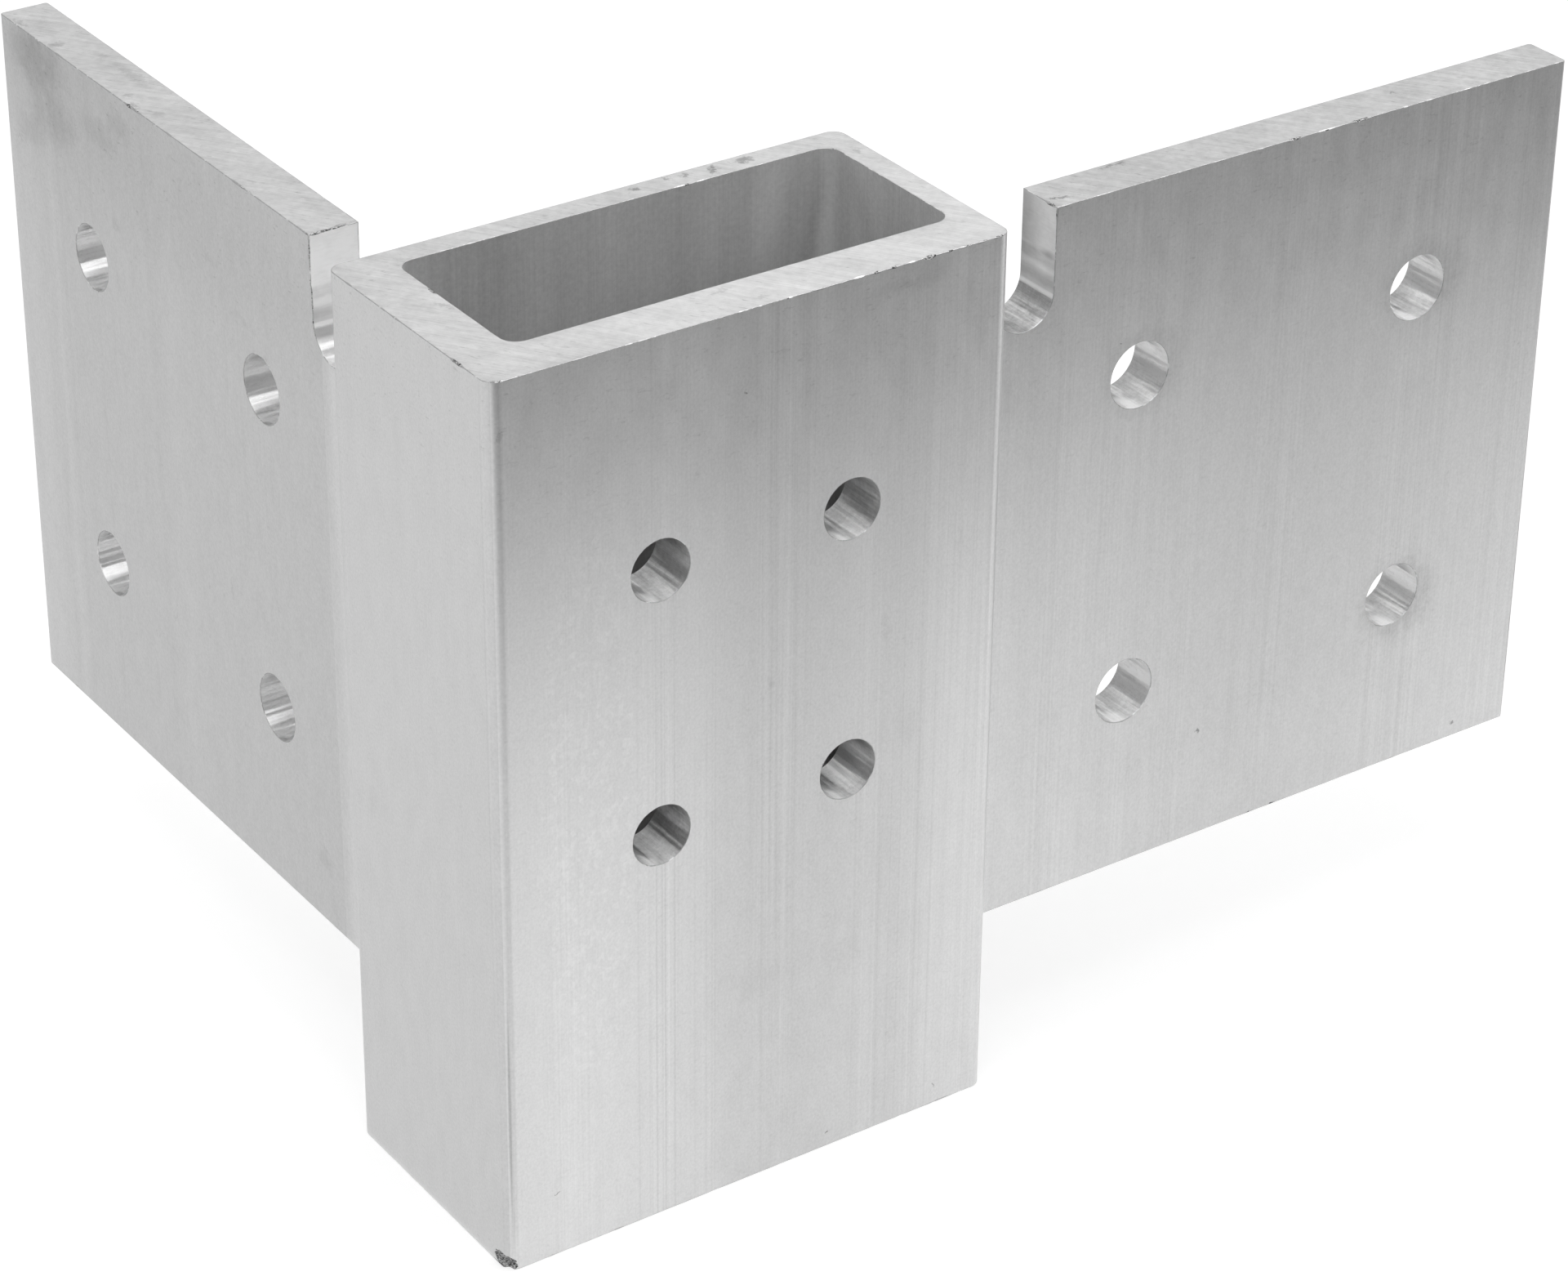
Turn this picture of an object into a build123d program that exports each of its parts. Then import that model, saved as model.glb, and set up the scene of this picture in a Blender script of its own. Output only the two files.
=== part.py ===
# Aluminium corner connector: an upright rectangular socket with two bolt-on wings at a right angle.
# It is one length of one extruded section. The wings are sawn off short of the foot, parted from
# the socket at the top by round-bottomed relief slots, and everything is drilled for bolts.
#
# Millimetres, +Z up. The origin is in the middle of the socket's opening at its foot. +X runs along
# the socket's long side and the right wing, +Y towards the back and along the left wing.
import os

from build123d import *

# Socket: a rectangular tube with two heavy walls (front and left) and two light ones.
socket_width = 80.0
socket_depth = 40.0
socket_height = 135.0
heavy_wall = 8.0
light_wall = 4.0
outer_corner_radius = 2.0
inner_corner_radius = 2.5

# Wings: flat plates whose tops are level with the socket's top.
wing_reach = 100.0
wing_thickness = 7.5
wing_height = 108.0
wing_set_in = 3.0  # how far each wing's outer face lies behind the socket's outer face
wing_root_radius = 0.8
wing_tip_radius = 0.5

# Relief slots, milled down from the top beside the socket, with a full round bottom.
slot_width = 9.5
slot_depth = 17.0

# Bolt holes. Each pattern is two by two.
wing_bolt_spacing = 50.0
wing_bolt_diameter = 10.0
socket_bolt_spacing_across = 30.0
socket_bolt_spacing_up = 40.0
socket_bolt_diameter = 9.0
socket_bolt_drop = 53.5  # from the sawn top down to the middle of the pattern

# Places that follow from the sizes above.
opening_width = socket_width - heavy_wall - light_wall
opening_depth = socket_depth - heavy_wall - light_wall
socket_left = -opening_width / 2 - heavy_wall
socket_right = opening_width / 2 + light_wall
socket_front = -opening_depth / 2 - heavy_wall
socket_back = opening_depth / 2 + light_wall
right_wing_outer = socket_front + wing_set_in
right_wing_inner = right_wing_outer + wing_thickness
right_wing_tip = socket_right + wing_reach
left_wing_outer = socket_left + wing_set_in
left_wing_inner = left_wing_outer + wing_thickness
left_wing_tip = socket_back + wing_reach
wing_bottom = socket_height - wing_height

# The root fillet has only the flat strip between the wing and the socket's rounded corner.
root_radius = min(wing_root_radius, 0.9 * (wing_set_in - outer_corner_radius))

# The die's outline, counter-clockwise from the socket's front left corner: x, y, corner radius.
section_corners = [
    (socket_left, socket_front, outer_corner_radius),
    (socket_right, socket_front, outer_corner_radius),
    (socket_right, right_wing_outer, root_radius),
    (right_wing_tip, right_wing_outer, wing_tip_radius),
    (right_wing_tip, right_wing_inner, wing_tip_radius),
    (socket_right, right_wing_inner, root_radius),
    (socket_right, socket_back, outer_corner_radius),
    (left_wing_inner, socket_back, root_radius),
    (left_wing_inner, left_wing_tip, wing_tip_radius),
    (left_wing_outer, left_wing_tip, wing_tip_radius),
    (left_wing_outer, socket_back, root_radius),
    (socket_left, socket_back, outer_corner_radius),
]

# Working planes. On a wing's plane x runs out from the socket's side and y up from the sawn top.
right_wing_plane = Plane(origin=(socket_right, 0, socket_height), x_dir=(1, 0, 0), z_dir=(0, -1, 0))
left_wing_plane = Plane(origin=(0, socket_back, socket_height), x_dir=(0, 1, 0), z_dir=(1, 0, 0))
socket_face = Plane(
    origin=((socket_left + socket_right) / 2, socket_front, socket_height - socket_bolt_drop),
    x_dir=(1, 0, 0),
    z_dir=(0, -1, 0),
)

with BuildPart() as corner_connector:
    # The extruded section, sawn to length.
    with BuildSketch():
        with BuildLine():
            FilletPolyline(
                *[(x, y) for x, y, radius in section_corners],
                radius=[radius for x, y, radius in section_corners],
                close=True,
            )
        make_face()
        RectangleRounded(opening_width, opening_depth, inner_corner_radius, mode=Mode.SUBTRACT)
    extrude(amount=socket_height)

    # Below the wings only the socket carries on: their lower ends are cut away flush with its sides.
    with BuildSketch():
        with Locations((socket_right, socket_front)):
            Rectangle(wing_reach, socket_depth, align=Align.MIN)
        with Locations((socket_left, socket_back)):
            Rectangle(socket_width, wing_reach, align=Align.MIN)
    extrude(amount=wing_bottom, mode=Mode.SUBTRACT)

    # Each wing gets its relief slot and its bolt holes, centred on the plate.
    for wing_plane in (right_wing_plane, left_wing_plane):
        with BuildSketch(wing_plane):
            with Locations((slot_width / 2, 0)):
                SlotOverall(2 * slot_depth, slot_width, rotation=90)
        extrude(amount=socket_width, both=True, mode=Mode.SUBTRACT)
        with Locations(wing_plane * Pos(wing_reach / 2, -wing_height / 2)):
            with GridLocations(wing_bolt_spacing, wing_bolt_spacing, 2, 2):
                Hole(wing_bolt_diameter / 2)

    # The socket is drilled straight through its front and back walls.
    with Locations(socket_face):
        with GridLocations(socket_bolt_spacing_across, socket_bolt_spacing_up, 2, 2):
            Hole(socket_bolt_diameter / 2)

corner_connector.part.label = "corner_connector"

os.makedirs("parts", exist_ok=True)
export_step(corner_connector.part, "parts/corner_connector.step")
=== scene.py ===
# %% [markdown]
# # An aluminium corner connector
#
# The real object is one length of one extruded aluminium section: a rectangular socket with two
# flat wings at a right angle. After the press it was sawn to length, its wings were sawn off short
# of the foot, a relief slot was cut beside the socket in each wing, and bolt holes were drilled.
# There is nothing else to it, so its looks are all in its edges and in what each tool left on the
# metal. This lesson makes it in the same order as the workshop did, and lets each tool leave its
# own finish on the faces that it cuts.
#
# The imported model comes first. It is the fixed frame: every size and place below is in it.

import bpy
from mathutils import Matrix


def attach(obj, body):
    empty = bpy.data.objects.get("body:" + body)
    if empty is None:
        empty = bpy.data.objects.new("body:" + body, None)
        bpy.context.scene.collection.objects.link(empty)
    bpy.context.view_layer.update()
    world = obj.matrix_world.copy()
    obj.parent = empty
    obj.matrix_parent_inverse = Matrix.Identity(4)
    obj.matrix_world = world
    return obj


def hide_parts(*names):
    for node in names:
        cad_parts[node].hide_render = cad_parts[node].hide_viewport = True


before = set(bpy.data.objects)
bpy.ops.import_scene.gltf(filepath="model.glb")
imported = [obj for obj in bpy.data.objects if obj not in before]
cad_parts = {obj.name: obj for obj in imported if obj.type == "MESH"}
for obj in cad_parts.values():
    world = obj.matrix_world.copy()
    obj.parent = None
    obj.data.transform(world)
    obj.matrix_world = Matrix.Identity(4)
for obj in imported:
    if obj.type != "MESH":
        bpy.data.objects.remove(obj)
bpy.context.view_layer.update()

from math import cos, pi, radians, sin, tan

import bmesh
import bpy
from mathutils import Matrix, Vector, noise

# %% [markdown]
# ## Sizes
#
# Workshops think in millimetres, and Blender's fill and cut tools also work best on numbers of
# that size, so the piece is made in millimetres and shrunk to metres at the end. Left is -X, front
# is -Y, and up is +Z. The socket has two heavy walls, at its front and left.

# %% Sizes in millimetres
MM = 0.001
height = 135.0
socket_left, socket_right, socket_front, socket_back = -42.0, 38.0, -22.0, 18.0
opening_left, opening_right, opening_front, opening_back = -34.0, 34.0, -14.0, 14.0
wing_foot, wing_reach, wing_thickness, wing_set_in = 27.0, 100.0, 7.5, 3.0
right_wing_outer = socket_front + wing_set_in
right_wing_inner = right_wing_outer + wing_thickness
right_wing_tip = socket_right + wing_reach
left_wing_outer = socket_left + wing_set_in
left_wing_inner = left_wing_outer + wing_thickness
left_wing_tip = socket_back + wing_reach
print("right wing", right_wing_outer, "to", right_wing_inner, "and out to", right_wing_tip)
print("left wing", left_wing_outer, "to", left_wing_inner, "and out to", left_wing_tip)

# %% [markdown]
# ## The extruded bar
#
# An extrusion has the same section all along, because hot metal is pushed through a steel die. The
# same can be done here: the section is drawn once as an outline with rounded corners, and
# Blender's 2D curve fills it and pulls it to a length. A cube with loop cuts could make the same
# form, but the curve keeps the true corner arcs and the opening, and leaves no edges to tidy.

# %% Draw the section and pull it to length
corner_radius, root_radius, tip_radius, opening_radius = 2.0, 0.8, 0.5, 2.5


def rounded(corners, steps=8):
    """The points round a closed outline with right-angled corners, given as x, y and radius."""
    points = []
    for i, (x, y, radius) in enumerate(corners):
        here = Vector((x, y))
        before = (Vector(corners[i - 1][:2]) - here).normalized() * radius
        after = (Vector(corners[(i + 1) % len(corners)][:2]) - here).normalized() * radius
        for k in range(steps + 1):
            turn = k / steps * pi / 2
            points.append(here + before + after - after * cos(turn) - before * sin(turn))
    return points


def pulled(name, outlines, low, high, place=Matrix.Identity(4)):
    """A closed mesh in millimetres: the filled outlines, pulled from low to high."""
    curve = bpy.data.curves.new(name, "CURVE")
    curve.dimensions, curve.fill_mode = "2D", "BOTH"
    curve.extrude = (high - low) / 2
    for outline in outlines:
        spline = curve.splines.new("POLY")
        spline.points.add(len(outline) - 1)
        for point, (x, y) in zip(spline.points, outline):
            point.co = (x, y, 0, 1)
        spline.use_cyclic_u = True
    drawn = bpy.data.objects.new(name, curve)
    mesh = bpy.data.meshes.new_from_object(drawn)
    mesh.transform(place @ Matrix.Translation((0, 0, (high + low) / 2)))
    bpy.data.objects.remove(drawn)
    work = bmesh.new()
    work.from_mesh(mesh)
    bmesh.ops.remove_doubles(work, verts=work.verts, dist=0.0005)
    bmesh.ops.recalc_face_normals(work, faces=work.faces)
    work.to_mesh(mesh)
    work.free()
    return mesh


section = rounded([
    (socket_left, socket_front, corner_radius),
    (socket_right, socket_front, corner_radius),
    (socket_right, right_wing_outer, root_radius),
    (right_wing_tip, right_wing_outer, tip_radius),
    (right_wing_tip, right_wing_inner, tip_radius),
    (socket_right, right_wing_inner, root_radius),
    (socket_right, socket_back, corner_radius),
    (left_wing_inner, socket_back, root_radius),
    (left_wing_inner, left_wing_tip, tip_radius),
    (left_wing_outer, left_wing_tip, tip_radius),
    (left_wing_outer, socket_back, root_radius),
    (socket_left, socket_back, corner_radius),
])
opening = rounded([
    (opening_left, opening_front, opening_radius),
    (opening_right, opening_front, opening_radius),
    (opening_right, opening_back, opening_radius),
    (opening_left, opening_back, opening_radius),
])
bar = pulled("bar", [section, opening], 0, height)
print("bar:", len(section) + len(opening), "points in the section,", len(bar.polygons), "faces")

# %% [markdown]
# ## Colours and nodes
#
# Colours are written as the hex values that a colour picker shows, and one function turns them
# into the linear values that a shader works with. Another adds a node with its settings and its
# links, and two more add the two sums that come up all the time, so that each finish further down
# reads as a list of what it is made of.

# %% A colour and some nodes
def linear(code):
    """A hex colour such as #c8c9cb as linear red, green, blue and a full alpha."""
    parts = [int(code[i : i + 2], 16) / 255 for i in (1, 3, 5)]
    return [p / 12.92 if p <= 0.04045 else ((p + 0.055) / 1.055) ** 2.4 for p in parts] + [1.0]


def add(tree, kind, inputs=None, **settings):
    """Adds a node to a tree, gives it its settings, and fills or links its inputs."""
    node = tree.nodes.new(kind)
    for name, value in settings.items():
        setattr(node, name, value)
    for name, value in (inputs or {}).items():
        if isinstance(value, bpy.types.NodeSocket):
            tree.links.new(value, node.inputs[name])
        else:
            node.inputs[name].default_value = value
    return node


def times_plus(tree, factor, amount, rest):
    """A factor times an amount, plus a rest."""
    inputs = {0: factor, 1: amount, 2: rest}
    return add(tree, "ShaderNodeMath", inputs, operation="MULTIPLY_ADD").outputs[0]


def ramped(tree, value, low, high, start=0.0, end=1.0, kind="LINEAR"):
    """A value that runs from start to end while the given one runs from low to high."""
    inputs = {"Value": value, "From Min": low, "From Max": high, "To Min": start, "To Max": end}
    return add(tree, "ShaderNodeMapRange", inputs, interpolation_type=kind).outputs[0]


print("mid grey #808080 is", round(linear("#808080")[0], 3), "linear")

# %% [markdown]
# ## What all the finishes share
#
# Every face here is bare aluminium, a metal, so each finish is the same shader with a metallic of
# one: what differs is how bright it reflects, how rough it is, and the fine relief that the tool
# left. All of it is written as sums of noises on the place of a point in millimetres, so no image
# and no unwrapping is needed, and a line runs on round a corner as it does on the real bar.
#
# The brightness is called the tone. It is 1 where nothing has happened to the metal, and the
# colour is multiplied by it.

# %% Start and end of a finish
def new_finish(name):
    """An empty material and its tree, and the place on the piece in millimetres."""
    material = bpy.data.materials.new(name)
    material.use_nodes = True
    tree = material.node_tree
    tree.nodes.clear()
    metres = add(tree, "ShaderNodeTexCoord").outputs["Object"]
    place = add(tree, "ShaderNodeVectorMath", {0: metres, "Scale": 1 / MM}, operation="SCALE")
    return material, tree, place.outputs[0]


def grain(tree, place, sizes, detail=2.0, roughness=0.55, turn=(0, 0, 0), colour=False):
    """Noise whose features have the given sizes in millimetres along x, y and z."""
    stretched = add(
        tree,
        "ShaderNodeMapping",
        {"Vector": place, "Rotation": [radians(a) for a in turn], "Scale": sizes},
        vector_type="TEXTURE",
    )
    inputs = {"Vector": stretched.outputs[0], "Scale": 1.0}
    inputs.update({"Detail": detail, "Roughness": roughness})
    return add(tree, "ShaderNodeTexNoise", inputs).outputs["Color" if colour else "Fac"]


def mixed_in(tree, tone, parts):
    """Adds noises to a tone, each swinging it up and down by its amount."""
    for part, amount in parts:
        centred = add(tree, "ShaderNodeMath", {0: part, 1: 0.5}, operation="SUBTRACT").outputs[0]
        tone = times_plus(tree, centred, amount, tone)
    return tone


def marked(tree, place, tone, marks):
    """Adds soft-edged oval marks to a tone: middle, half sizes, turn, softness and strength."""
    for middle, half_sizes, turn, soft, strength in marks:
        inputs = {"Vector": place, "Location": middle, "Rotation": turn, "Scale": half_sizes}
        near = add(tree, "ShaderNodeMapping", inputs, vector_type="TEXTURE").outputs[0]
        away = add(tree, "ShaderNodeVectorMath", {0: near}, operation="LENGTH").outputs["Value"]
        change = ramped(tree, away, 1 - soft, 1, strength, 0, "SMOOTHSTEP")
        tone = add(tree, "ShaderNodeMath", {0: tone, 1: change}, operation="ADD").outputs[0]
    return tone


def shaken(tree, place, size, reach, detail=3.0, roughness=0.7):
    """The place, moved about by a noise, which gives the marks on it ragged edges."""
    swing = grain(tree, place, (size, size, size), detail, roughness, colour=True)
    inputs = {0: swing, 1: (0.5, 0.5, 0.5)}
    swing = add(tree, "ShaderNodeVectorMath", inputs, operation="SUBTRACT").outputs[0]
    inputs = {0: swing, 1: (reach, reach, reach), 2: place}
    return add(tree, "ShaderNodeVectorMath", inputs, operation="MULTIPLY_ADD").outputs[0]


def metal(tree, code, tone, roughness, relief, depth, **more):
    """Ends a finish: a metal of one colour times its tone, with a relief of a depth in mm."""
    colour = add(tree, "ShaderNodeHueSaturation", {"Color": linear(code), "Value": tone})
    bump = add(tree, "ShaderNodeBump", {"Height": relief, "Distance": depth * MM})
    inputs = {
        "Base Color": colour.outputs[0],
        "Metallic": 1.0,
        "Roughness": roughness,
        "Normal": bump.outputs[0],
    }
    shader = add(tree, "ShaderNodeBsdfPrincipled", {**inputs, **more})
    add(tree, "ShaderNodeOutputMaterial", {"Surface": shader.outputs[0]})


def on_front(x, z, wide, tall, strength, tilt=0.0, soft=0.7):
    """A mark on the front faces, with its half width and half height in millimetres."""
    return (x, socket_front + 1, z), (wide, 6, tall), (0, radians(tilt), 0), soft, strength


def on_left(y, z, wide, tall, strength, tilt=0.0, soft=0.7):
    """A mark on the left faces."""
    return (socket_left + 1, y, z), (6, wide, tall), (radians(tilt), 0, 0), soft, strength


def on_top(x, y, wide, deep, strength, tilt=0.0, soft=0.7):
    """A mark on the sawn tops."""
    return (x, y, height), (wide, deep, 1), (0, 0, radians(tilt)), soft, strength


print("a mark on the front is", on_front(0, 50, 2, 3, -0.1))

# %% [markdown]
# ## The extruded skin
#
# Mill finish is aluminium as it leaves the die: no brushing and no anodising. Each tiny flaw of
# the die draws one line along the whole bar, so the lines run straight up and never stop. They
# gather in groups, because the metal flows differently over thick and thin parts of the section,
# and the same flow leaves broad dull and light bands. Between the lines the surface is a fine even
# satin, and handling and cutting oil have left small smudges, mostly near the sawn ends.
#
# The lines are noise that is stretched a hundredfold along Z. Real die lines are a few hundredths
# of a millimetre wide, too fine to show, so they are drawn 0.3 mm wide. The strong ones are marks
# of their own, at the places where the real bar has them. A brushed-metal texture would be the
# quick way, but it gives every line the same weight, and this metal would then look polished.

# %% Finish: extruded skin
def extruded_skin(
    name, line_strength, lines=(), bands=(), smudges=(), ticks=(), specks=0.0, mottle=None
):
    """Mill-finish aluminium: die lines, flow bands, painted light, handling marks, dirt, a mottled
    spot.

    Lines and bands have clean edges, smudges and ticks have ragged ones. Specks say how dark the
    dirt near the sawn top is.
    """
    material, tree, place = new_finish(name)
    fine = grain(tree, place, (0.3, 0.3, 60))
    medium = grain(tree, place, (1.6, 1.6, 160))
    groups = grain(tree, place, (13, 13, 400), detail=1.0)
    drawn = mixed_in(tree, 0.0, [(fine, 0.17), (medium, 0.11)])
    weight = ramped(tree, groups, 0.4, 0.62, 0.25 * line_strength, 1.6 * line_strength)
    tone = times_plus(tree, drawn, weight, 1.0)
    satin = grain(tree, place, (0.35, 0.35, 0.45), detail=1.0)
    clouds = grain(tree, place, (3.0, 3.0, 6.0), detail=3.0, roughness=0.6)
    tone = mixed_in(tree, tone, [(satin, 0.20), (clouds, 0.15)])
    tone = marked(tree, place, tone, list(lines) + list(bands))
    tone = marked(tree, shaken(tree, place, 1.6, 5), tone, smudges)
    nudged = shaken(tree, place, 0.7, 1.5, detail=2.0, roughness=0.55)
    tone = marked(tree, nudged, tone, ticks)
    if mottle:
        spots = grain(tree, place, (0.9, 0.9, 1.1), detail=1.0)
        spots = ramped(tree, spots, 0.5, 0.66)
        tone = times_plus(tree, spots, marked(tree, place, 0.0, [mottle]), tone)
    if specks:
        # Smears and specks of dirt lie near the sawn top, wider than they are tall.
        dirt = grain(tree, place, (1.5, 1.5, 0.55), detail=3.0, roughness=0.7)
        dirt = ramped(tree, dirt, 0.6, 0.74)
        up = add(tree, "ShaderNodeSeparateXYZ", {0: place}).outputs["Z"]
        tone = times_plus(tree, dirt, ramped(tree, up, 104, 128, -0.4 * specks, -specks), tone)
    roughness = mixed_in(tree, 0.36, [(clouds, 0.10), (medium, 0.06)])
    metal(tree, "#d9d9d9", tone, roughness, fine, 0.01)
    return material


print("a skin has lines, bands, smudges, ticks, specks and a mottled spot")

# %% [markdown]
# ### On the front
#
# The lists are read off the face as it stands: how far along X and how high a mark lies, half its
# width and half its height in millimetres, and how much lighter or darker it is. The metal's flow
# left most of the bands. The right wing's front is darker all over and more so low down, the
# socket's lower left is painted lighter towards the foot, standing in for the bright floor it
# mirrors there, and the rounded corner has a painted reflection. Hands and cutting oil left the
# smudges, and single chips the ticks.

# %% The front's own marks
# The strong lines: how far along X each one stands, and its strength.
socket_lines = [
    (-20.8, -0.045), (-19.1, -0.035), (-17.9, -0.085), (-17.0, -0.075), (-16.5, -0.085),
    (-15.9, 0.02), (-15.0, -0.095), (-14.5, -0.03), (-11.8, -0.03), (-10.5, 0.025),
    (-9.9, -0.045), (-9.0, -0.045), (-8.5, -0.045), (14.5, -0.03), (16.0, 0.035),
    (18.0, 0.045), (18.6, -0.03), (20.5, -0.035), (22.1, -0.04), (23.4, -0.02),
    (24.2, 0.035), (25.0, -0.035), (27.5, -0.035),
]
wing_lines = [
    (40.6, -0.03), (47.7, 0.02), (48.2, -0.025), (77.0, 0.02), (87.4, -0.02),
    (89.0, -0.025), (90.8, 0.02), (91.3, -0.025), (102.3, -0.02), (109.8, -0.02),
    (114.8, -0.02), (115.4, 0.02), (124.8, -0.025), (129.7, -0.025), (136.8, -0.03),
]
front_lines = [on_front(x, 30, 0.24, 88, strength) for x, strength in socket_lines]
front_lines += [on_front(x, 50, 0.28, 80, strength) for x, strength in wing_lines]
front_bands = [
    on_front(-2, 67, 42, 400, 0.035, soft=0.03),
    on_front(4, 50, 26, 125, -0.12, soft=0.85),
    on_front(22, 40, 31.7, 260, -0.025, soft=0.05),
    on_front(37, 60, 9, 130, 0.035, soft=0.9),
    on_front(22, 40, 5.5, 260, -0.05, soft=0.4),
    # painted light: the socket's lower left is lighter towards the foot, where it mirrors the
    # floor
    on_front(-31, 20, 12, 95, 0.035, soft=0.9),
    on_front(36, 135, 14, 40, 0.06, soft=0.9),
    # darker over the right wing's front, and more so low down
    on_front(91, 60, 62, 66, -0.13, soft=0.8),
    on_front(91, 26, 56, 14, -0.04, soft=0.9),
    # The rounded corner: a painted reflection, a light line beside a darker one, and a painted
    # dark line low down.
    ((socket_left + 0.5, socket_front + 0.6, 70), (0.8, 0.8, 200), (0, 0, 0), 0.7, 0.14),
    ((socket_left + 1.5, socket_front, 70), (0.3, 0.3, 200), (0, 0, 0), 0.9, -0.06),
    ((socket_left + 0.9, socket_front + 0.3, 26), (0.22, 0.4, 22), (0, 0, 0), 0.6, -0.3),
]
front_smudges = [
    # Cutting oil has dried in rings round three of the right wing's holes.
    on_front(114, 55, 9.5, 9, -0.17, soft=0.5),
    on_front(114, 107, 10, 8.5, -0.13, soft=0.5),
    on_front(64, 106.5, 9, 8.5, -0.10, soft=0.5),
    on_front(114, 95, 6, 4, 0.03),
    on_front(120, 104, 4.5, 7, -0.03),
    on_front(-2, 33, 6, 4.5, -0.03),
    on_front(13, 32, 4, 3.5, -0.04),
    on_front(21, 132, 8, 1.8, -0.08),
    on_front(33, 124, 1.6, 7, -0.05),
    on_front(23, 65, 2.6, 5, -0.035),
    on_front(19, 81, 0.8, 4, -0.05),
    on_front(30.5, 92, 0.7, 2.5, -0.05),
    on_front(0, 79.2, 0.9, 1.0, -0.09),
    on_front(-3.7, 76.3, 0.8, 0.7, -0.07),
    on_front(-40.1, 127.7, 0.6, 1.4, -0.16),
    on_front(-16, 127, 3, 2, -0.03),
    on_front(125.3, 132.5, 0.7, 0.9, -0.14),
    on_front(133.5, 91.8, 0.5, 0.7, -0.12),
]
front_ticks = [
    on_front(-34.2, 10.0, 0.5, 0.25, -0.6, tilt=-30),
    on_front(-4, 123.3, 0.4, 0.3, -0.5),
    on_front(77.2, 44.7, 0.4, 0.35, -0.5),
    on_front(127.5, 29.3, 0.5, 0.4, -0.5),
    on_front(59.5, 111.8, 0.35, 0.3, -0.5),
    on_front(10.6, 2.2, 0.3, 0.3, -0.6),
    on_front(29, 3.2, 0.25, 0.8, -0.4),
]
front_skin = extruded_skin(
    "extruded_mill_finish_aluminium",
    0.85,
    lines=front_lines,
    bands=front_bands,
    smudges=front_smudges,
    ticks=front_ticks,
    specks=0.16,
    mottle=on_front(-28, 68, 12, 62, 0.06, soft=0.6),
)
print(front_skin.name, "has", len(front_skin.node_tree.nodes), "nodes")

# %% [markdown]
# ### On the left and the back
#
# The left faces are calmer: their lines are a third as strong, and the socket's side is lighter
# than the wing. Fingers held the wing by its upper outer corner, where most of its smudges are.
# The faces that the picture hides have the same metal with hardly any dirt.

# %% The left's own marks, and the back
left_bands = [
    on_left(-2, 67, 20.3, 300, 0.045, soft=0.04),
    on_left(70, 67, 51, 300, -0.085, soft=0.05),
    on_left(23.6, 60, 2.3, 200, 0.065, soft=0.15),
    on_left(111, 60, 14, 200, 0.03, soft=0.5),
    on_left(113.5, 60, 6, 200, 0.06, soft=0.9),
    on_left(105, 60, 1.3, 200, 0.03),
    on_left(102.2, 60, 1.0, 200, -0.03),
    on_left(107.2, 60, 0.7, 200, -0.02),
    on_left(91.9, 60, 0.7, 200, -0.025),
    on_left(75, 60, 1.2, 200, -0.02),
    on_left(68.5, 60, 5, 200, 0.02),
    on_left(43.9, 60, 0.5, 200, 0.02),
    on_left(65, 124, 80, 18, -0.07, soft=0.9),
    # The rounded corner seen from the left: a painted reflection, two dark lines and a light one.
    ((socket_left, socket_front + 1.3, 20), (0.25, 0.25, 90), (0, 0, 0), 0.9, -0.06),
    ((socket_left, socket_front + 2.2, 90), (0.25, 0.2, 90), (0, 0, 0), 0.9, -0.07),
    ((socket_left, socket_front + 1.7, 90), (0.25, 0.2, 90), (0, 0, 0), 0.9, 0.05),
]
left_smudges = [
    on_left(107, 131.5, 12, 7, -0.24),
    on_left(103, 124, 11, 6, -0.15),
    on_left(110, 119.5, 7, 4, -0.1),
    on_left(88, 127, 9, 3.5, -0.09),
    on_left(82, 130.5, 5, 3, -0.1),
    on_left(31, 37, 3.2, 3, -0.08),
    on_left(10, 58, 4, 3.5, -0.03),
    on_left(84.5, 114.5, 2.4, 1.2, -0.07),
    on_left(56, 120, 3, 1.4, -0.06),
    on_left(48, 114.5, 5, 1.0, -0.05),
    on_left(55, 69.5, 0.5, 2.2, -0.09),
    on_left(62, 67, 0.7, 0.8, -0.09),
    on_left(73, 56.5, 0.8, 0.9, -0.09),
    on_left(79, 51, 0.7, 0.6, -0.1),
    on_left(105.5, 111, 1.4, 0.9, -0.1),
    on_left(114.5, 117, 1.4, 0.9, -0.12),
]
left_skin = extruded_skin(
    "extruded_mill_finish_aluminium_left",
    0.3,
    bands=left_bands,
    smudges=left_smudges,
    specks=0.22,
)
back_skin = extruded_skin("extruded_mill_finish_aluminium_back", 0.6, specks=0.05)
print(left_skin.name, "has", len(left_skin.node_tree.nodes), "nodes")
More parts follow.
